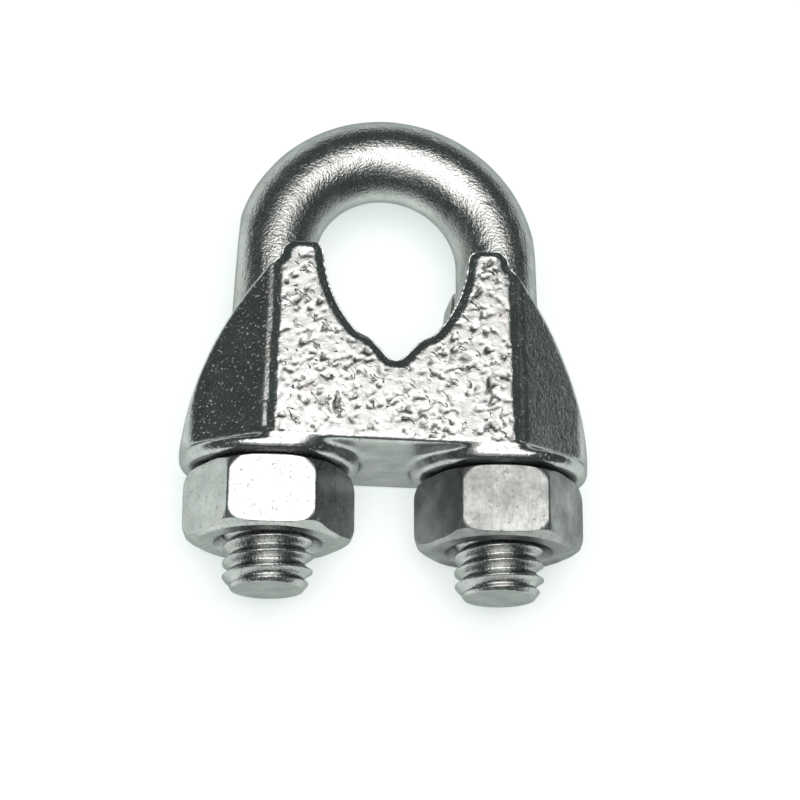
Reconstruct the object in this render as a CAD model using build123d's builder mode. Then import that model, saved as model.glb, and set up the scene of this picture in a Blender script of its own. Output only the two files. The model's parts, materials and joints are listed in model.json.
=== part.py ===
"""Wire rope clip with an M6 U-bolt, a cast saddle and two hexagon nuts.

The clip lies on its back. X runs across the two legs of the U-bolt, +Y runs
up the legs to the bend, and +Z is the direction of the rope. The origin is
the centre of the bend. Sizes are in millimetres and degrees.
"""

from build123d import *
import os
from math import radians, tan

# U-bolt
LEG_SPACING = 15.5  # between the axes of the two legs
BAR_DIAMETER = 5.7  # rolling a thread lifts its crests above the bare bar
THREAD_DIAMETER = 6.0
THREAD_PITCH = 1.0
THREAD_TURNS = 14
BOLT_END_Y = -23.5
END_CHAMFER = 0.6
FLAT_TOP = (10.16, 3.0)  # the bending die leaves a shallow flat outside each leg
FLAT_FOOT = (10.6, -5.0)

# Nuts
NUT_ACROSS_FLATS = 10.0
NUT_HEIGHT = 4.9
NUT_CHAMFER_ANGLE = 30
NUT_BEARING_DIAMETER = 9.4
NUT_BORE_CLEARANCE = 0.05
NUT_COUNTERSINK = 0.6
NUT_TURN = {"nut_left": 2.5, "nut_right": 4.5}  # how far each nut is off square

# Saddle, from the nuts up
SADDLE_LENGTH = 27.7
SADDLE_DEPTH = 11.0
LEG_HOLE_DIAMETER = 6.6
PAD_FACE_Y = -15.5  # where the nuts bear
BRIDGE_FACE_Y = -14.6  # underside between the two pads
RIM_TOP_Y = -14.5
PAD_INNER_X = 1.7
RIM_ROUND_BELOW = 0.65
RIM_ROUND_ABOVE = 0.3
EDGE_ROUND = 0.4

# Saddle seen from below: a wide front, slanting facets and rounded ends
FRONT_HALF_WIDTH_BELOW = 8.2
FRONT_HALF_WIDTH_ABOVE = 7.85
END_FLAT_HALF_WIDTH = 1.45
END_ROUND = 2.4

# Saddle seen from the front: flanks, horns, rope seat and the notch in it
FLANK_MIDDLE = (11.3, -6.35)
FLANK_TOP = (7.7, -1.75)
HORN_TIP_Y = -0.75
HORN_TIP_ROUND = 0.6
SEAT_TOP = (4.85, -1.5)
SEAT_MIDDLE = (4.1, -4.6)
SEAT_SHOULDER = (2.5, -7.0)
NOTCH_EDGE = (1.65, -7.4)
NOTCH_BOTTOM_Y = -9.15
NOTCH_ROUND = 0.5

LEG_X = LEG_SPACING / 2
BAR_RADIUS = BAR_DIAMETER / 2
THREAD_RADIUS = THREAD_DIAMETER / 2
BOLT_OUTSIDE_X = LEG_X + THREAD_RADIUS
THREAD_TOP_Y = BOLT_END_Y + THREAD_PITCH * THREAD_TURNS
END_X = SADDLE_LENGTH / 2
HALF_DEPTH = SADDLE_DEPTH / 2
PAD_LENGTH = END_X - PAD_INNER_X
PAD_CENTRE_X = (END_X + PAD_INNER_X) / 2
NUT_BORE_RADIUS = THREAD_RADIUS + NUT_BORE_CLEARANCE
NUT_CHAMFER_REACH = NUT_ACROSS_FLATS * 0.6
NUT_CHAMFER_DEPTH = (NUT_CHAMFER_REACH - NUT_BEARING_DIAMETER / 2) * tan(radians(NUT_CHAMFER_ANGLE))

os.makedirs("parts", exist_ok=True)


def across_legs(y):
    """The plane across the legs at height y. Its normal is -Y, toward the nuts."""
    return Plane.XZ.offset(-y)


# The U-bolt: a bent round bar with a threaded end on each leg
with BuildPart() as u_bolt:
    with BuildSketch(across_legs(0)):
        with Locations((LEG_X, 0)):
            Circle(BAR_RADIUS)
    revolve(axis=Axis.Z, revolution_arc=180)
    with BuildSketch(across_legs(0)):
        with Locations((-LEG_X, 0), (LEG_X, 0)):
            Circle(BAR_RADIUS)
    extrude(amount=-THREAD_TOP_Y)
    with BuildSketch(across_legs(THREAD_TOP_Y)):
        with Locations((-LEG_X, 0), (LEG_X, 0)):
            Circle(THREAD_RADIUS)
    extrude(amount=THREAD_TOP_Y - BOLT_END_Y)
    chamfer(faces().sort_by(Axis.Y)[:2].edges(), END_CHAMFER)
    with BuildSketch(Plane.XY):
        with BuildLine():
            Polyline(
                FLAT_TOP,
                FLAT_FOOT,
                (BOLT_OUTSIDE_X, FLAT_FOOT[1]),
                (BOLT_OUTSIDE_X, FLAT_TOP[1]),
                close=True,
            )
        make_face()
        mirror(about=Plane.YZ)
    extrude(amount=BAR_RADIUS, both=True, mode=Mode.SUBTRACT)

u_bolt.part.label = "u_bolt"
export_step(u_bolt.part, "parts/u_bolt.step")


def outline_from_below(y, front_half_width):
    """The saddle's outline at height y: a front and a back, four facets, two ends."""
    with BuildSketch(across_legs(y)) as outline:
        with BuildLine():
            Polyline(
                (0, HALF_DEPTH),
                (front_half_width, HALF_DEPTH),
                (END_X, END_FLAT_HALF_WIDTH),
                (END_X, 0),
            )
            mirror(about=Plane.XZ)
            mirror(about=Plane.YZ)
        make_face()
        ends = vertices().group_by(Axis.X)
        fillet(ends[0] + ends[-1], END_ROUND)
    return outline.sketch


# The block of the saddle: its outline from the front, cut to its outline from below
with BuildPart() as saddle_block:
    with BuildSketch(Plane.XY):
        with BuildLine():
            Polyline((0, BRIDGE_FACE_Y), (END_X, BRIDGE_FACE_Y), (END_X, RIM_TOP_Y))
            ThreePointArc((END_X, RIM_TOP_Y), FLANK_MIDDLE, FLANK_TOP)
            Polyline(FLANK_TOP, (FLANK_TOP[0], HORN_TIP_Y), (SEAT_TOP[0], HORN_TIP_Y), SEAT_TOP)
            ThreePointArc(SEAT_TOP, SEAT_MIDDLE, SEAT_SHOULDER)
            Polyline(SEAT_SHOULDER, NOTCH_EDGE, (0, NOTCH_BOTTOM_Y))
            mirror(about=Plane.YZ)
        make_face()
        fillet(vertices().group_by(Axis.Y)[-1], HORN_TIP_ROUND)
        fillet(vertices().sort_by_distance((0, NOTCH_BOTTOM_Y))[0], NOTCH_ROUND)
    extrude(amount=HALF_DEPTH, both=True)
    below = outline_from_below(BRIDGE_FACE_Y, FRONT_HALF_WIDTH_BELOW)
    above = outline_from_below(HORN_TIP_Y, FRONT_HALF_WIDTH_ABOVE)
    loft([below, above], mode=Mode.INTERSECT)
    front_and_back = faces().filter_by(Axis.Z).sort_by(Axis.Z)
    fillet(front_and_back[0].outer_wire().edges() + front_and_back[-1].outer_wire().edges(), EDGE_ROUND)

# The saddle: the block on two round-edged pads, with a hole for each leg
with BuildPart() as saddle:
    with BuildSketch(across_legs(RIM_TOP_Y)):
        for side in (-1, 1):
            with Locations((side * PAD_CENTRE_X, 0)):
                SlotCenterToCenter(PAD_LENGTH - SADDLE_DEPTH, SADDLE_DEPTH)
    extrude(amount=RIM_TOP_Y - PAD_FACE_Y)
    fillet(faces().sort_by(Axis.Y)[:2].edges(), RIM_ROUND_BELOW)
    fillet(faces().sort_by(Axis.Y)[-2:].edges(), RIM_ROUND_ABOVE)
    add(saddle_block.part)
    with Locations(across_legs(PAD_FACE_Y)):
        with Locations((-LEG_X, 0), (LEG_X, 0)):
            Hole(LEG_HOLE_DIAMETER / 2)

saddle.part.label = "saddle"
export_step(saddle.part, "parts/saddle.step")


# The nuts: a hexagon chamfered at both ends, bored and countersunk
for name, leg_x in (("nut_left", -LEG_X), ("nut_right", LEG_X)):
    with BuildPart() as nut:
        with BuildSketch(across_legs(PAD_FACE_Y)):
            with Locations((leg_x, 0)):
                RegularPolygon(
                    NUT_ACROSS_FLATS / 2, 6, major_radius=False, rotation=NUT_TURN[name]
                )
        extrude(amount=NUT_HEIGHT)
        with BuildSketch(Plane.XY):
            with BuildLine():
                Polyline(
                    (leg_x, PAD_FACE_Y),
                    (leg_x + NUT_BEARING_DIAMETER / 2, PAD_FACE_Y),
                    (leg_x + NUT_CHAMFER_REACH, PAD_FACE_Y - NUT_CHAMFER_DEPTH),
                    (leg_x + NUT_CHAMFER_REACH, PAD_FACE_Y - NUT_HEIGHT + NUT_CHAMFER_DEPTH),
                    (leg_x + NUT_BEARING_DIAMETER / 2, PAD_FACE_Y - NUT_HEIGHT),
                    (leg_x, PAD_FACE_Y - NUT_HEIGHT),
                    close=True,
                )
            make_face()
        revolve(axis=Axis((leg_x, 0, 0), (0, 1, 0)), mode=Mode.INTERSECT)
        with Locations(across_legs(PAD_FACE_Y)):
            with Locations((leg_x, 0)):
                Hole(NUT_BORE_RADIUS)
        bore_rims = edges().filter_by(GeomType.CIRCLE).filter_by(
            lambda edge: abs(edge.radius - NUT_BORE_RADIUS) < NUT_BORE_CLEARANCE
        )
        chamfer(bore_rims, NUT_COUNTERSINK)

    nut.part.label = name
    export_step(nut.part, f"parts/{name}.step")
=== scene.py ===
"""Looks of the wire rope clip: a zinc plated bar, casting and two nuts on a pale floor.

Meshes are made in millimetres in the part's own frame and scaled to metres at the end.
X runs across the legs, +Y up the legs to the bend, +Z out of the saddle's front face.
Angles round a leg go from +Z toward +X, so that a right-hand thread climbs toward +Y
as the angle grows.
"""

import json
import math

import bmesh
import bpy
import numpy as np
from mathutils import Matrix, Vector, noise
from mathutils.kdtree import KDTree


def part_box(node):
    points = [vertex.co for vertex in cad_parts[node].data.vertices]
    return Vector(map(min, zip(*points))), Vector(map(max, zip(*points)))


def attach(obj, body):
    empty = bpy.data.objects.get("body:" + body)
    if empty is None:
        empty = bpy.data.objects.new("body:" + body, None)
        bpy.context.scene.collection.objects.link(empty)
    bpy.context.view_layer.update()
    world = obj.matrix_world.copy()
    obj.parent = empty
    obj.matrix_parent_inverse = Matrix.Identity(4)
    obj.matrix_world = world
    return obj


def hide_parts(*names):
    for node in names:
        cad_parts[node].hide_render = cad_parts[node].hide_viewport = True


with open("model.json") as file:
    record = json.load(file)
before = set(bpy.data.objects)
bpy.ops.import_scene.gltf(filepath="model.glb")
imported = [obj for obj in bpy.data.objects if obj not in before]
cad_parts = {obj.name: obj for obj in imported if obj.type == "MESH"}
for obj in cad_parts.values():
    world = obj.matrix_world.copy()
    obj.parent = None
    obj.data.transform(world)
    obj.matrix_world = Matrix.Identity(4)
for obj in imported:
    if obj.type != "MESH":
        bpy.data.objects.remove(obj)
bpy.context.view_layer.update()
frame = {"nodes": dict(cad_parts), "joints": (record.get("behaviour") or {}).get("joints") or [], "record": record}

MM = 0.001


def in_mm(node):
    """The lowest and highest corner of a CAD node, in millimetres."""
    low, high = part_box(node)
    return np.array(low) / MM, np.array(high) / MM


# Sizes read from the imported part
BOLT_LOW, BOLT_HIGH = in_mm("u_bolt")
SADDLE_LOW, SADDLE_HIGH = in_mm("saddle")
NUT_LOW, NUT_HIGH = in_mm("nut_left")
JOINTS = {joint["name"]: joint for joint in frame["joints"]}
LEG_X = JOINTS["nut_right_turn"]["pos_m"][0] / MM
NUT_RATIO = frame["record"]["behaviour"]["couplings"][0]["ratio"]
PITCH = 2 * math.pi / NUT_RATIO / MM
BAR_RADIUS = BOLT_HIGH[1] - LEG_X
THREAD_RADIUS = BOLT_HIGH[2]
BOLT_END_Y = BOLT_LOW[1]
NUT_TOP_Y, NUT_BOTTOM_Y = NUT_HIGH[1], NUT_LOW[1]
BACK_Z = SADDLE_LOW[2]

# Thread: shares are of the pitch, measured from the middle of the crest
THREAD_TURNS = 14
THREAD_DEPTH = 0.50
CREST_SHARE = 0.05
ROOT_SHARE = 0.27
RUN_OUT_TURNS = 1.5
END_CHAMFER = 0.6
END_CHAMFER_SLOPE = 0.75
ROWS_PER_TURN = 20
BAR_COLUMNS = 128
BOLT_SKIN = 0.012  # the looks stay this far inside the CAD part
NUT_BORE_RADIUS = 2.56
NUT_THREAD_GAP = 0.06
NUT_COUNTERSINK_RADIUS = 3.64

# Die flats outside the legs: a point on the right one, and its outward slant
FLAT_POINT = (10.16, 3.0)
FLAT_SLANT = 0.055
FLAT_BLEND = 0.05

# Nuts
ACROSS_FLATS = 10.0
BEARING_RADIUS = 4.7
CHAMFER_SLOPE = math.tan(math.radians(30))
CORNER_DROP = 0.46
CORNER_POWER = 1.7
CORNER_BLEND = 0.18
END_CORNER_BLEND = 1.1  # the corners are rounder near the nut's two ends
END_CORNER_REACH = 1.1
NUT_TURN = {"nut_left": 2.5, "nut_right": 4.5}
# The right nut's dullness makes it rougher and more scratched, and also paints it greyer as painted shade.
NUT_DULLNESS_AND_SHADE = {"nut_left": 0.0, "nut_right": 0.9}

# Saddle
SADDLE_VOXEL = 0.12
SMOOTH_PASSES = 4
PAD_FACE_Y = SADDLE_LOW[1]
HALF_DEPTH = SADDLE_HIGH[2]
HORN_TIP_Y = SADDLE_HIGH[1]
HORN_CORNERS = ((5.75, 0.9, -1), (6.55, 1.3, 1))  # centre across, radius, side it faces
RIM_BLEND_Y = PAD_FACE_Y + 1.45  # below here the pads' rims melt into the underside
RIM_BLEND_STEPS = 24
UPRIGHT = 0.86  # the least share of Z in a normal on the front and back
FACET_Z, FACET_X = 0.45, 0.3  # the least shares of Z and X in a normal on a facet
FACE_FOOT_Y = PAD_FACE_Y + 1.2  # the front, back and facets start here
WALL_FOOT_Y = PAD_FACE_Y + 2.5  # above the bottom edges, so that they don't roll
HOLE_EDGE_REACH = (3.8, 4.4)  # distances from a leg's axis where the evening fades out
HOLE_EDGE_STEPS = 16
ROLL_SLOPE = 0.55  # how steeply the rolled edge of the front and back falls away
RIDGE_ROLL = 0.60
THROAT_ROLL = 0.26
LEDGE_SLOPE = 0.20  # the narrow ledge outside each rolled ridge


# --- Mesh helpers ---------------------------------------------------------------------


def finish_object(name, mesh):
    """A smooth-shaded object in metres from a mesh in millimetres."""
    mesh.transform(Matrix.Scale(MM, 4))
    mesh.polygons.foreach_set("use_smooth", [True] * len(mesh.polygons))
    mesh.name = name
    obj = bpy.data.objects.new(name, mesh)
    bpy.context.scene.collection.objects.link(obj)
    return obj


def mesh_from(grids, weld=0.004):
    """One closed mesh from grids of points, each closed round its columns.

    A grid is (points[row][column], climb). With climb, the last column of a row meets
    the first column of the row that is climb rows on, as a thread does."""
    bm = bmesh.new()
    for points, climb in grids:
        rows, columns = points.shape[:2]
        verts = [[bm.verts.new(p) for p in row] for row in points]
        for i in range(rows - 1):
            for j in range(columns):
                last = j + 1 == columns
                step = climb if last else 0
                low, high = min(i + step, rows - 1), min(i + 1 + step, rows - 1)
                across = 0 if last else j + 1
                ring = (verts[i][j], verts[low][across], verts[high][across], verts[i + 1][j])
                ring = tuple(dict.fromkeys(ring))
                if len(ring) > 2:
                    bm.faces.new(ring)
    bmesh.ops.remove_doubles(bm, verts=bm.verts, dist=weld)
    bmesh.ops.holes_fill(bm, edges=bm.edges, sides=0)
    bmesh.ops.recalc_face_normals(bm, faces=bm.faces)
    mesh = bpy.data.meshes.new("shape")
    bm.to_mesh(mesh)
    bm.free()
    return mesh


def read_points(mesh):
    """A mesh's points and its normals, as arrays."""
    points = np.zeros(len(mesh.vertices) * 3)
    mesh.vertices.foreach_get("co", points)
    normals = np.zeros(len(mesh.vertices) * 3)
    mesh.vertices.foreach_get("normal", normals)
    return points.reshape(-1, 3), normals.reshape(-1, 3)


def write_points(mesh, points):
    mesh.vertices.foreach_set("co", points.ravel())
    mesh.update()


def smoothstep(low, high, value):
    t = np.clip((value - low) / (high - low), 0.0, 1.0)
    return t * t * (3 - 2 * t)


def soft_min(a, b, width):
    """The lower of a and b, rounded over width where they cross."""
    blend = np.clip(0.5 + 0.5 * (b - a) / width, 0.0, 1.0)
    return b * (1 - blend) + a * blend - width * blend * (1 - blend)


def soft_max(a, b, width):
    return -soft_min(-a, -b, width)


def lumps(points, size, seed=0.0):
    """Smooth noise from -1 to 1 at each point, with lumps about size millimetres wide."""
    shift = Vector((seed, seed * 1.7, seed * 2.3))
    return np.array([noise.noise(Vector(p) / size + shift) for p in points])


# --- U-bolt ---------------------------------------------------------------------------


def thread_height(share):
    """0 in the root and 1 on the crest, at a share of a pitch from the crest's middle."""
    from_crest = np.abs((share + 0.5) % 1.0 - 0.5)
    root_round = 0.5 - ROOT_SHARE
    slope = 1.0 / (ROOT_SHARE - CREST_SHARE + root_round / 2)
    down = slope * np.clip(from_crest - CREST_SHARE, 0.0, ROOT_SHARE - CREST_SHARE)
    into_root = np.clip(from_crest - ROOT_SHARE, 0.0, root_round)
    down += slope * (into_root - into_root ** 2 / (2 * root_round))
    return 1.0 - down


def thread_rows(low_y, high_y, angles):
    """Heights of grid rows that climb with the thread, held between two planes, and
    each row's share of a pitch from the crest's middle."""
    count = int(round(((high_y - low_y) / PITCH + 2) * ROWS_PER_TURN)) + 1
    first = (math.floor((low_y - BOLT_END_Y) / PITCH) - 1) * PITCH + BOLT_END_Y
    start = first + np.arange(count)[:, None] * PITCH / ROWS_PER_TURN
    free = start + PITCH * angles[None, :] / (2 * math.pi)
    share = (start - BOLT_END_Y) / PITCH + 0 * free
    return np.clip(free, low_y, high_y), share


def round_leg(leg_x, radius, y, angles):
    """Points at a radius from a leg's axis."""
    x = leg_x + radius * np.sin(angles)
    z = radius * np.cos(angles)
    return np.stack([x, y + 0 * x, z + 0 * x], axis=-1)


def full_turn(count, start=0.0):
    return start + np.arange(count) * 2 * math.pi / count


def threaded_leg(leg_x, top_y):
    """Grids of one threaded end: the thread, and the flat face that closes it."""
    angles = full_turn(BAR_COLUMNS)
    y, share = thread_rows(BOLT_END_Y, top_y, angles)
    radius = THREAD_RADIUS - BOLT_SKIN - THREAD_DEPTH * (1 - thread_height(share))
    fade = smoothstep(top_y - RUN_OUT_TURNS * PITCH, top_y, y)
    radius = radius * (1 - fade) + BAR_RADIUS * fade
    rim = THREAD_RADIUS - END_CHAMFER
    cone = rim + END_CHAMFER_SLOPE * (y - BOLT_END_Y)
    radius = np.where(y <= BOLT_END_Y, rim, soft_min(radius, cone, 0.04))
    rings = rim * np.array([1.0, 0.985, 0.93, 0.8, 0.6, 0.4, 0.2, 0.06])
    face = round_leg(leg_x, rings[:, None] + 0 * angles, BOLT_END_Y, angles)
    return [(round_leg(leg_x, radius, y, angles), ROWS_PER_TURN), (face, 0)]


def bent_bar(top_y):
    """The grid of the bare bar: up the right leg, round the bend, down the left leg."""
    angles = full_turn(BAR_COLUMNS)
    straight = np.linspace(top_y, 0, 50)[:-1]
    turns = np.linspace(0, math.pi, 141)
    centres = [(LEG_X, y, 0.0) for y in straight]
    centres += [(LEG_X * math.cos(t), LEG_X * math.sin(t), t) for t in turns]
    centres += [(-LEG_X, y, math.pi) for y in straight[::-1]]
    x, y, turn = (np.array(column)[:, None] for column in zip(*centres))
    out = BAR_RADIUS * np.sin(angles)[None, :]
    side = BAR_RADIUS * np.cos(angles)[None, :] + 0 * turn
    return np.stack([x + out * np.cos(turn), y + out * np.sin(turn), side], axis=-1)


def make_u_bolt():
    top_y = BOLT_END_Y + THREAD_TURNS * PITCH
    grids = threaded_leg(-LEG_X, top_y) + threaded_leg(LEG_X, top_y)
    mesh = mesh_from(grids + [(bent_bar(top_y), 0)])
    points, normals = read_points(mesh)
    bare = smoothstep(top_y, top_y + 1.0, points[:, 1])
    unevenness = 0.5 + 0.5 * lumps(points, 2.6)
    dents = smoothstep(0.25, 0.6, lumps(points, 0.8, 5.0))
    points -= normals * (bare * (0.035 * unevenness + 0.02 * dents))[:, None]
    flat_x = FLAT_POINT[0] + FLAT_SLANT * (FLAT_POINT[1] - points[:, 1])
    flat_x = flat_x + 10.0 * (1 - bare)
    sign = np.sign(points[:, 0])
    points[:, 0] = sign * soft_min(np.abs(points[:, 0]), flat_x, FLAT_BLEND)
    write_points(mesh, points)
    return finish_object("u_bolt_bar", mesh)


# --- Nuts -----------------------------------------------------------------------------


def hexagon_angles(turn):
    """Angles round a nut, closer together at its corners."""
    half_side = np.concatenate([np.linspace(0, 18, 7), np.linspace(19.2, 29.4, 15)])
    side = np.concatenate([-half_side[:0:-1], half_side, [30.0]])
    first = 90.0 - turn - 30.0
    return np.radians(np.concatenate([first - 360.0 + 60.0 * k + side for k in range(6)]))


def hexagon_radius(angles, turn, blend):
    """The radius of the nut's side at each angle, with its corners rounded."""
    apothem = ACROSS_FLATS / 2
    first = math.radians(90.0 - turn - 30.0)
    reach = [apothem / np.maximum(np.cos(angles - first - k * math.pi / 3), 0.05) for k in range(6)]
    reach = np.sort(np.array(reach), axis=0)
    return soft_min(reach[0], reach[1], blend)


def shoulder(radius):
    """How far below its end face a nut's chamfer lies at a radius."""
    flat = ACROSS_FLATS / 2
    to_corner = flat / math.cos(math.pi / 6) - flat
    cone = (np.minimum(radius, flat) - BEARING_RADIUS) * CHAMFER_SLOPE
    beyond = np.maximum(radius - flat, 0.0) / to_corner
    return cone + CORNER_DROP * beyond ** CORNER_POWER


def nut_shell(leg_x, turn, angles):
    """The grid of a nut's outside: bottom face, chamfer, side, chamfer, top face."""
    radius = hexagon_radius(angles, turn, END_CORNER_BLEND)
    edge = shoulder(radius)
    rows = []
    bearing_width = BEARING_RADIUS - 0.12 - NUT_COUNTERSINK_RADIUS
    for share in np.linspace(0, 1, 7):
        rows.append((NUT_COUNTERSINK_RADIUS + share * bearing_width, 0.0))
    for share in (0.0, 0.06, 0.12, 0.3, 0.5, 0.7, 0.86, 0.93, 0.97, 1.0):
        lip = BEARING_RADIUS - 0.06 + share * (radius - BEARING_RADIUS + 0.06)
        rows.append((lip, soft_max(shoulder(lip), 0 * lip, 0.03)))
    height = NUT_TOP_Y - NUT_BOTTOM_Y
    lower = [(r + 0 * angles, d + 0 * angles) for r, d in rows]
    side = []
    for share in (0.012, 0.03, 0.06, 0.1, 0.14, 0.18, 0.22, 0.26, 0.3, 0.4, 0.5):
        near_end = np.clip(1 - share * height / END_CORNER_REACH, 0.0, 1.0) ** 2
        blend = CORNER_BLEND + (END_CORNER_BLEND - CORNER_BLEND) * near_end
        side.append((hexagon_radius(angles, turn, blend), edge + share * (height - 2 * edge)))
    half = lower + side
    below = [(r, NUT_BOTTOM_Y + d) for r, d in half]
    above = [(r, NUT_TOP_Y - d) for r, d in half[::-1][1:]]
    r = np.array([row[0] for row in below + above])
    y = np.array([row[1] for row in below + above])
    return round_leg(leg_x, r, y, angles)


def nut_bore(leg_x, angles):
    """The grid of a nut's threaded bore, countersunk at both ends."""
    y, share = thread_rows(NUT_BOTTOM_Y, NUT_TOP_Y, angles)
    groove = THREAD_RADIUS + NUT_THREAD_GAP - THREAD_DEPTH * (1 - thread_height(share))
    radius = soft_max(groove, NUT_BORE_RADIUS + 0 * groove, 0.03)
    from_end = np.minimum(y - NUT_BOTTOM_Y, NUT_TOP_Y - y)
    cone = NUT_COUNTERSINK_RADIUS - from_end
    radius = np.where(from_end <= 0, NUT_COUNTERSINK_RADIUS, soft_max(radius, cone, 0.04))
    return round_leg(leg_x, radius, y, angles)


def make_nut(name):
    turn = NUT_TURN[name]
    leg_x = -LEG_X if name == "nut_left" else LEG_X
    angles = hexagon_angles(turn)
    mesh = mesh_from([(nut_shell(leg_x, turn, angles), 0), (nut_bore(leg_x, angles), ROWS_PER_TURN)])
    points, normals = read_points(mesh)
    from_axis = np.hypot(points[:, 0] - leg_x, points[:, 2])
    outside = smoothstep(3.5, 4.0, from_axis)
    seed = leg_x
    waves = 0.5 + 0.5 * lumps(points, 2.2, seed)
    nicks = smoothstep(0.3, 0.65, lumps(points, 0.55, seed + 3))
    points -= normals * (outside * (0.03 * waves + 0.015 * nicks))[:, None]
    write_points(mesh, points)
    return finish_object(name + "_hexagon", mesh)


# --- Saddle ---------------------------------------------------------------------------


def remeshed(node, voxel):
    """A copy of a CAD node in millimetres, remeshed with even small faces."""
    source = frame["nodes"][node].data.copy()
    source.transform(Matrix.Scale(1 / MM, 4))
    obj = bpy.data.objects.new("remesh_work", source)
    bpy.context.scene.collection.objects.link(obj)
    merge = obj.modifiers.new("merge", "WELD")
    merge.merge_threshold = 0.001
    modifier = obj.modifiers.new("remesh", "REMESH")
    modifier.mode = "VOXEL"
    modifier.voxel_size = voxel
    modifier.adaptivity = 0.0
    smooth = obj.modifiers.new("smooth", "SMOOTH")
    smooth.factor = 0.5
    smooth.iterations = SMOOTH_PASSES
    depsgraph = bpy.context.evaluated_depsgraph_get()
    mesh = bpy.data.meshes.new_from_object(obj.evaluated_get(depsgraph))
    bpy.data.objects.remove(obj)
    mesh.materials.clear()
    return mesh


def distance_to(points, targets):
    """Each point's distance from the nearest of the target points."""
    tree = KDTree(len(targets))
    for index, target in enumerate(targets):
        tree.insert(target, index)
    tree.balance()
    return np.array([tree.find(p)[2] for p in points])


def round_horns(points):
    """Draw the corners of the four horn tips in to broad arcs."""
    out = points.copy()
    for centre_x, radius, side in HORN_CORNERS:
        x = (np.abs(points[:, 0]) - centre_x) * side
        y = points[:, 1] - (HORN_TIP_Y - radius)
        reach = np.hypot(x, y)
        corner = (x > 0) & (y > 0) & (reach > radius)
        pull = np.where(corner, radius / np.maximum(reach, radius), 1.0)
        across = np.sign(points[:, 0]) * (centre_x + side * x * pull)
        out[:, 0] = np.where(corner, across, out[:, 0])
        out[:, 1] = np.where(corner, HORN_TIP_Y - radius + y * pull, out[:, 1])
    return out


def melt(mesh, points, share, steps):
    """Even the surface out by moving each point toward its neighbours' mean."""
    edges = np.zeros(len(mesh.edges) * 2, dtype=np.int32)
    mesh.edges.foreach_get("vertices", edges)
    first, second = edges[0::2], edges[1::2]
    ends, others = np.concatenate([first, second]), np.concatenate([second, first])
    count = np.bincount(ends, minlength=len(points))[:, None]
    for _ in range(steps):
        total = np.stack([np.bincount(ends, points[others, k], len(points)) for k in range(3)], axis=-1)
        points = points + (0.5 * share)[:, None] * (total / count - points)
    return points


def part_faces(points, normals):
    """Which points are on the front or back, which on a slanting facet, and how far each
    point is from a facet and from the throat's walls and the horn tips."""
    above_foot = points[:, 1] > FACE_FOOT_Y
    upright = (np.abs(normals[:, 2]) > UPRIGHT) & above_foot
    slanting = (np.abs(normals[:, 2]) > FACET_Z) & (np.abs(normals[:, 0]) > FACET_X)
    facet = ~upright & slanting & above_foot
    wall = ~upright & ~facet & (points[:, 1] > WALL_FOOT_Y)
    return upright, facet, distance_to(points, points[facet]), distance_to(points, points[wall])


def roll_edges(points, upright, facet, from_facet, from_wall):
    """Lower the edges of the front and back: they roll over toward the throat and the
    horn tips, and toward a narrow ledge along each side ridge."""
    from_panel = np.zeros(len(points))
    from_panel[facet] = distance_to(points[facet], points[upright])
    ridge = ROLL_SLOPE * soft_max(RIDGE_ROLL - from_facet, 0.0, 0.16)
    throat = ROLL_SLOPE * soft_max(THROAT_ROLL - from_wall, 0.0, 0.12)
    drop = soft_max(ridge, throat, 0.05) + LEDGE_SLOPE * from_panel
    drop = drop * smoothstep(PAD_FACE_Y + 1.1, PAD_FACE_Y + 1.5, points[:, 1])
    rolled = points.copy()
    rolled[:, 2] = np.sign(points[:, 2]) * soft_min(np.abs(points[:, 2]), HALF_DEPTH - drop, 0.08)
    return rolled


# Turned this way, the relief is longest from lower left to upper right
CRACK_SLANT = np.array([[0.74, 0.67, 0.0], [-0.67, 0.74, 0.0], [0.0, 0.0, 1.0]])


def cast_relief(points, on_panel):
    """How deep the casting's skin lies at each point, in millimetres, and the share of
    it that is a crack or a pit, which only the rough front and back have."""
    swirl = np.stack([lumps(points, 0.8, 11.0), lumps(points, 0.8, 17.0), 0 * points[:, 0]], axis=-1)
    bent = points + 0.35 * swirl
    slant = bent @ CRACK_SLANT
    stretched = slant * np.array([1.0, 0.40, 1.0])
    line = np.abs(lumps(stretched, 0.75, 23.0) + 0.5 * lumps(stretched, 0.26, 37.0))
    broken = smoothstep(0.0, 0.22, lumps(bent, 0.6, 29.0))
    cracks = (1 - smoothstep(0.03, 0.13, line)) * broken
    pocks = smoothstep(0.30, 0.50, lumps(slant * np.array([1.0, 0.6, 1.0]), 0.34, 41.0))
    rolling = 0.5 + 0.5 * lumps(stretched, 0.9, 53.0)
    rough = 0.5 + 0.5 * lumps(stretched, 0.36, 61.0)
    pit = np.clip(cracks + 0.5 * pocks, 0.0, 1.0)
    depth = on_panel * (0.09 * pit + 0.03 * rolling + 0.035 * rough)
    depth += (1 - on_panel) * 0.010 * rolling
    return depth, pit * on_panel


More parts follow.
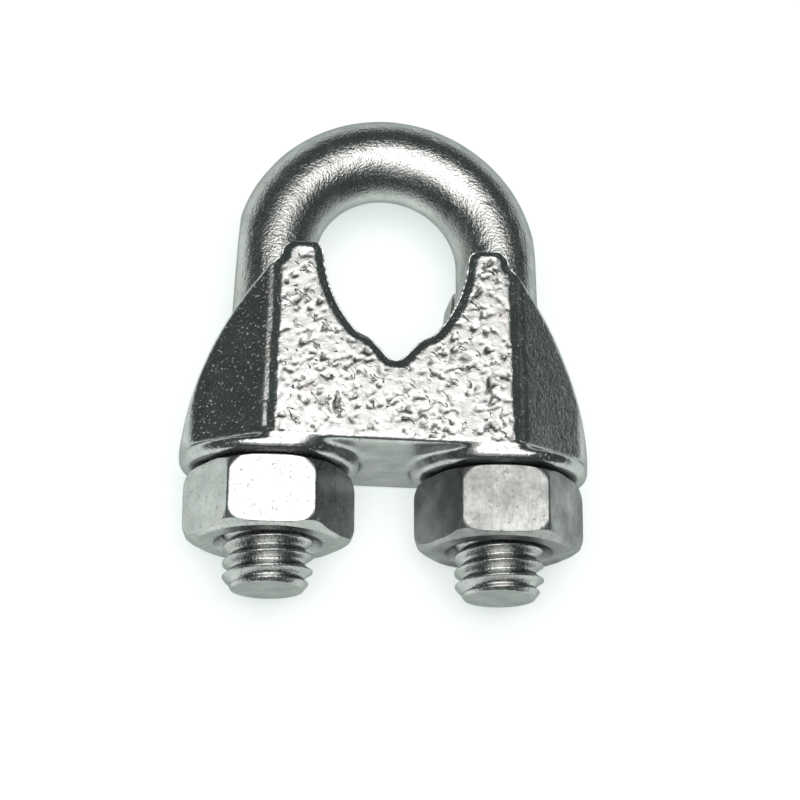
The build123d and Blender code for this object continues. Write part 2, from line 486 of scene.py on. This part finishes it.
def make_saddle():
    mesh = remeshed("saddle", SADDLE_VOXEL)
    points = round_horns(read_points(mesh)[0])
    on_rim = 1 - smoothstep(RIM_BLEND_Y - 0.4, RIM_BLEND_Y, points[:, 1])
    points = melt(mesh, points, on_rim, RIM_BLEND_STEPS)
    from_leg = np.hypot(np.abs(points[:, 0]) - LEG_X, points[:, 2])
    by_hole = (1 - smoothstep(*HOLE_EDGE_REACH, from_leg)) * (points[:, 1] > PAD_FACE_Y + 3.0)
    points = melt(mesh, points, by_hole, HOLE_EDGE_STEPS)
    write_points(mesh, points)
    upright, facet, from_facet, from_wall = part_faces(*read_points(mesh))
    points = roll_edges(points, upright, facet, from_facet, from_wall)
    write_points(mesh, melt(mesh, points, np.ones(len(points)), 2))
    on_panel = upright * smoothstep(0.40, 0.70, from_facet) * smoothstep(0.32, 0.60, from_wall)
    on_panel = on_panel * smoothstep(RIM_BLEND_Y - 0.35, RIM_BLEND_Y - 0.1, points[:, 1])
    points, normals = read_points(mesh)
    depth, pit = cast_relief(points, on_panel)
    points = np.clip(points - normals * depth[:, None], SADDLE_LOW, SADDLE_HIGH)
    write_points(mesh, points)
    # The pit share goes to the casting's material, where it darkens the colour as painted shade.
    for name, values in (("pit", pit), ("panel", on_panel)):
        attribute = mesh.attributes.new(name, "FLOAT", "POINT")
        attribute.data.foreach_set("value", values.astype(np.float32))
    return finish_object("saddle_casting", mesh)


# --- Materials ------------------------------------------------------------------------


class Nodes:
    """A material's node tree, with short ways to add and join nodes."""

    def __init__(self, name):
        self.material = bpy.data.materials.new(name)
        self.material.use_nodes = True
        self.tree = self.material.node_tree
        self.shader = self.tree.nodes["Principled BSDF"]
        self.place = self.add("ShaderNodeTexCoord").outputs["Object"]

    def add(self, kind, **settings):
        node = self.tree.nodes.new(kind)
        for key, value in settings.items():
            setattr(node, key, value)
        return node

    def join(self, output, node_input):
        self.tree.links.new(output, node_input)

    def scaled(self, size_mm, stretch=(1.0, 1.0, 1.0), turn_z=0.0):
        """Object coordinates in units of size_mm, stretched along each axis."""
        mapping = self.add("ShaderNodeMapping", vector_type="TEXTURE")
        self.join(self.place, mapping.inputs["Vector"])
        mapping.inputs["Rotation"].default_value = (0.0, 0.0, math.radians(turn_z))
        mapping.inputs["Scale"].default_value = [size_mm * MM * s for s in stretch]
        return mapping.outputs["Vector"]

    def noise(self, size_mm, detail=3.0, stretch=(1.0, 1.0, 1.0), turn_z=0.0, rough=0.55, swirl=0.0):
        texture = self.add("ShaderNodeTexNoise")
        self.join(self.scaled(size_mm, stretch, turn_z), texture.inputs["Vector"])
        texture.inputs["Scale"].default_value = 1.0
        texture.inputs["Detail"].default_value = detail
        texture.inputs["Roughness"].default_value = rough
        texture.inputs["Distortion"].default_value = swirl
        return texture.outputs["Fac"]

    def lines(self, noise_output, width):
        """1 along the contour lines of a noise at its middle value, fading over width."""
        away = self.add("ShaderNodeMath", operation="SUBTRACT")
        self.join(noise_output, away.inputs[0])
        away.inputs[1].default_value = 0.5
        size = self.add("ShaderNodeMath", operation="ABSOLUTE")
        self.join(away.outputs[0], size.inputs[0])
        return self.ramp(size.outputs[0], (0.0, 1.0), (width, 0.0))

    def ramp(self, value, *stops):
        """A colour ramp; each stop is (place, grey or colour)."""
        node = self.add("ShaderNodeValToRGB")
        self.join(value, node.inputs["Fac"])
        elements = node.color_ramp.elements
        while len(elements) < len(stops):
            elements.new(1.0)
        for element, (place, colour) in zip(elements, stops):
            element.position = place
            grey = not hasattr(colour, "__len__")
            element.color = (colour,) * 3 + (1.0,) if grey else tuple(colour) + (1.0,)
        return node.outputs["Color"]

    def mix(self, share, first, second, blend_type="MIX"):
        """Two colours mixed by a share, which may be a number or an output."""
        node = self.add("ShaderNodeMix", data_type="RGBA", blend_type=blend_type)
        for key, value in (("Factor", share), ("A", first), ("B", second)):
            sockets = [s for s in node.inputs if s.name == key and s.enabled]
            socket = sockets[-1]
            if isinstance(value, bpy.types.NodeSocket):
                self.join(value, socket)
            elif hasattr(value, "__len__"):
                socket.default_value = tuple(value) + (1.0,)
            else:
                socket.default_value = value
        return [s for s in node.outputs if s.enabled][0]

    def bump(self, height, distance_mm, strength, before=None):
        node = self.add("ShaderNodeBump")
        node.inputs["Distance"].default_value = distance_mm * MM
        node.inputs["Strength"].default_value = strength
        self.join(height, node.inputs["Height"])
        if before is not None:
            self.join(before, node.inputs["Normal"])
        return node.outputs["Normal"]


ZINC_LIGHT = (0.58, 0.59, 0.58)
ZINC_DULL = (0.45, 0.465, 0.455)
ZINC_WARM = (0.56, 0.54, 0.53)
ZINC_EDGE = (0.42, 0.44, 0.43, 1.0)
# Grey for the painted shade on a dull nut.
ZINC_SHADED_GREY = (0.24, 0.25, 0.245)
# A dark colour for marks on the bar and nuts, and for the painted shade in the casting's pits and cracks.
DARK_MARKS_AND_SHADE = (0.085, 0.08, 0.075)


def zinc_base(nodes, patch_mm):
    """The plated skin's colour: light and dull patches with a little warm staining."""
    patches = nodes.ramp(nodes.noise(patch_mm), (0.35, 0.0), (0.65, 1.0))
    colour = nodes.mix(patches, ZINC_DULL, ZINC_LIGHT)
    warm = nodes.ramp(nodes.noise(patch_mm * 1.7, detail=2.0), (0.55, 0.0), (0.72, 0.6))
    return nodes.mix(warm, colour, ZINC_WARM)


def start_zinc(name):
    nodes = Nodes(name)
    nodes.shader.inputs["Metallic"].default_value = 1.0
    nodes.shader.inputs["Specular Tint"].default_value = ZINC_EDGE
    return nodes


def make_bar_material():
    """Bright zinc over a drawn bar: fine speckle and faint marks along it."""
    nodes = start_zinc("zinc_plated_bar")
    nicks = nodes.ramp(nodes.noise(0.16, detail=3.0), (0.60, 0.0), (0.70, 0.5))
    colour = nodes.mix(nicks, zinc_base(nodes, 1.4), DARK_MARKS_AND_SHADE)
    nodes.join(colour, nodes.shader.inputs["Base Color"])
    grain = nodes.noise(0.22, detail=4.0)
    nodes.join(nodes.ramp(grain, (0.3, 0.17), (0.7, 0.29)), nodes.shader.inputs["Roughness"])
    fine = nodes.bump(nodes.noise(0.17, detail=3.0), 0.045, 0.9)
    marks = nodes.noise(0.4, detail=3.0, stretch=(0.6, 2.2, 0.6))
    nodes.join(nodes.bump(marks, 0.04, 0.6, before=fine), nodes.shader.inputs["Normal"])
    return nodes.material


def make_casting_material():
    """Zinc over cast iron: fine broken cracks and pits on the panels, darkened with painted
    shade that stands in for the shade they hold, and a smoother glittering skin elsewhere."""
    nodes = start_zinc("zinc_plated_casting")
    pit = nodes.add("ShaderNodeAttribute", attribute_name="pit").outputs["Fac"]
    panel = nodes.add("ShaderNodeAttribute", attribute_name="panel").outputs["Fac"]
    contour = nodes.noise(1.0, detail=2.0, stretch=(1.9, 0.7, 1.0), turn_z=-42.0, swirl=0.4)
    broken = nodes.ramp(nodes.noise(0.7, detail=2.0), (0.52, 0.0), (0.62, 1.0))
    cracks = nodes.mix(1.0, nodes.lines(contour, 0.022), broken, "MULTIPLY")
    cracks = nodes.mix(1.0, cracks, panel, "MULTIPLY")
    # Painted shade: the colour is darkened in the pits, standing in for the shade that falls in them.
    pit_shade = nodes.ramp(pit, (0.2, 0.0), (0.85, 0.8))
    colour = nodes.mix(pit_shade, zinc_base(nodes, 1.2), DARK_MARKS_AND_SHADE)
    # Painted shade: the colour is darkened along the shader's cracks, standing in for the shade in them.
    colour = nodes.mix(nodes.ramp(cracks, (0.2, 0.0), (0.9, 0.5)), colour, DARK_MARKS_AND_SHADE)
    nodes.join(colour, nodes.shader.inputs["Base Color"])
    grain = nodes.noise(0.25, detail=4.0)
    rough_panel = nodes.ramp(grain, (0.3, 0.26), (0.7, 0.38))
    rough_skin = nodes.ramp(grain, (0.3, 0.17), (0.7, 0.27))
    nodes.join(nodes.mix(panel, rough_skin, rough_panel), nodes.shader.inputs["Roughness"])
    fine = nodes.bump(nodes.noise(0.16, detail=3.0), 0.022, 0.6)
    coarse = nodes.bump(nodes.noise(0.35, detail=3.0), 0.04, 0.5, before=fine)
    sparks = nodes.ramp(nodes.noise(0.17, detail=2.0), (0.66, 0.0), (0.76, 1.0))
    off_panel = nodes.ramp(panel, (0.0, 1.0), (1.0, 0.0))
    sparks = nodes.mix(1.0, sparks, off_panel, "MULTIPLY")
    pimples = nodes.bump(sparks, 0.035, 0.8, before=coarse)
    sunk = nodes.ramp(cracks, (0.0, 1.0), (1.0, 0.0))
    nodes.join(nodes.bump(sunk, 0.05, 0.8, before=pimples), nodes.shader.inputs["Normal"])
    return nodes.material


def make_nut_material(name, dullness_and_shade):
    """Zinc over pressed nuts: flat faces with dark specks and short scratches along the
    axis. A dull nut is rougher and more scratched, and grey clouds of painted shade darken it."""
    nodes = start_zinc(name)
    long_contour = nodes.noise(0.5, detail=3.0, stretch=(0.7, 3.0, 0.7), swirl=0.6)
    broken = nodes.ramp(nodes.noise(0.7, detail=2.0), (0.50, 0.0), (0.64, 0.8))
    scratches = nodes.mix(1.0, nodes.lines(long_contour, 0.02), broken, "MULTIPLY")
    specks = nodes.ramp(nodes.noise(0.22, detail=2.0), (0.66, 0.0), (0.72, 0.7))
    marks = nodes.mix(1.0, scratches, specks, "ADD")
    # Painted shade: grey clouds darken a dull nut's colour, standing in for the shade on it.
    shade_clouds = nodes.ramp(nodes.noise(2.6, detail=3.0), (0.40, dullness_and_shade), (0.66, 0.2 * dullness_and_shade))
    colour = nodes.mix(shade_clouds, zinc_base(nodes, 1.8), ZINC_SHADED_GREY)
    nodes.join(nodes.mix(marks, colour, DARK_MARKS_AND_SHADE), nodes.shader.inputs["Base Color"])
    grain = nodes.noise(0.3, detail=4.0)
    rough = nodes.ramp(grain, (0.3, 0.22 + 0.08 * dullness_and_shade), (0.7, 0.36 + 0.10 * dullness_and_shade))
    nodes.join(rough, nodes.shader.inputs["Roughness"])
    fine = nodes.bump(nodes.noise(0.18, detail=3.0), 0.010, 0.5)
    drawn = nodes.noise(0.24, detail=3.0, stretch=(0.5, 3.0, 0.5))
    both = nodes.bump(drawn, 0.02 + 0.02 * dullness_and_shade, 0.6, before=fine)
    nodes.join(both, nodes.shader.inputs["Normal"])
    return nodes.material


# --- Stage, light and camera ----------------------------------------------------------

LENS_MM = 103.5
SENSOR_MM = 36.0
CAMERA_TARGET = Vector((1.018, -9.867, 0.0)) * MM
CAMERA_ACROSS = math.radians(7.92)
CAMERA_BELOW = math.radians(19.0)
CAMERA_DISTANCE = 156.5 * MM
CAMERA_ROLL = math.radians(0.268)
FLOOR_HALF_WIDTH = 6.0
FLOOR_DULL = (0.85, 0.90, 0.88)
FLOOR_LIGHT = (0.87, 0.92, 0.90)
FLOOR_GLOW = 0.55
LAMP_COLOUR = (1.0, 0.975, 0.96)
WORLD_COLOUR = (0.80, 1.0, 0.93, 1.0)
WORLD_STRENGTH = 0.08


def make_camera():
    toward = Vector((-math.tan(CAMERA_ACROSS), -math.tan(CAMERA_BELOW), 1.0)).normalized()
    forward = -toward
    right = forward.cross(Vector((0.0, 1.0, 0.0))).normalized()
    up = right.cross(forward)
    c, s = math.cos(CAMERA_ROLL), math.sin(CAMERA_ROLL)
    right, up = c * right + s * up, c * up - s * right
    data = bpy.data.cameras.new("camera")
    data.sensor_width = SENSOR_MM
    data.lens = LENS_MM
    data.clip_start = 0.005
    camera = bpy.data.objects.new("camera", data)
    place = Matrix((right, up, toward)).transposed().to_4x4()
    place.translation = CAMERA_TARGET + toward * CAMERA_DISTANCE
    camera.matrix_world = place
    bpy.context.scene.collection.objects.link(camera)
    bpy.context.scene.camera = camera


def make_floor():
    half, z = FLOOR_HALF_WIDTH, BACK_Z * MM
    corners = [(-half, -half, z), (half, -half, z), (half, half, z), (-half, half, z)]
    mesh = bpy.data.meshes.new("floor")
    mesh.from_pydata(corners, [], [(0, 1, 2, 3)])
    floor = bpy.data.objects.new("floor", mesh)
    bpy.context.scene.collection.objects.link(floor)
    nodes = Nodes("pale_floor")
    shader = nodes.shader
    shader.inputs["Roughness"].default_value = 0.9
    shader.inputs["Specular IOR Level"].default_value = 0.0
    tone = nodes.ramp(nodes.noise(40.0, detail=2.0), (0.3, FLOOR_DULL), (0.7, FLOOR_LIGHT))
    nodes.join(tone, shader.inputs["Base Color"])
    nodes.join(tone, shader.inputs["Emission Color"])
    shader.inputs["Emission Strength"].default_value = FLOOR_GLOW
    floor.data.materials.append(nodes.material)


def add_softbox(name, across, up, distance, wide, high, radiance):
    """An oval soft light seen from the part at angles from +Z toward +X and +Y."""
    toward = Vector((math.tan(math.radians(across)), math.tan(math.radians(up)), 1.0)).normalized()
    data = bpy.data.lights.new(name, "AREA")
    data.shape = "ELLIPSE"
    data.size = wide
    data.size_y = high
    data.energy = radiance * math.pi * math.pi * wide * high / 4
    data.color = LAMP_COLOUR
    light = bpy.data.objects.new(name, data)
    light.location = toward * distance
    light.rotation_euler = (-toward).to_track_quat("-Z", "Y").to_euler()
    bpy.context.scene.collection.objects.link(light)


def make_world():
    world = bpy.data.worlds.new("studio")
    world.use_nodes = True
    background = world.node_tree.nodes["Background"]
    background.inputs["Color"].default_value = WORLD_COLOUR
    background.inputs["Strength"].default_value = WORLD_STRENGTH
    bpy.context.scene.world = world


def main():
    make_camera()
    bpy.context.scene.view_settings.view_transform = "Standard"
    make_world()
    make_floor()
    add_softbox("softbox", -4, -2, 0.21, 0.19, 0.27, 2.6)
    add_softbox("bounce", -4, -28, 0.24, 0.20, 0.26, 0.6)
    pieces = (
        (make_u_bolt, "u_bolt", "plated_bar", make_bar_material()),
        (make_saddle, "saddle", "plated_casting", make_casting_material()),
    )
    for build, node, slot, material in pieces:
        piece = build()
        piece.data.materials.append(material)
        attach(piece, node)
        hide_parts(node)
    for node, dullness_and_shade in NUT_DULLNESS_AND_SHADE.items():
        piece = make_nut(node)
        piece.data.materials.append(make_nut_material("zinc_plated_" + node, dullness_and_shade))
        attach(piece, node)
        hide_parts(node)


main()
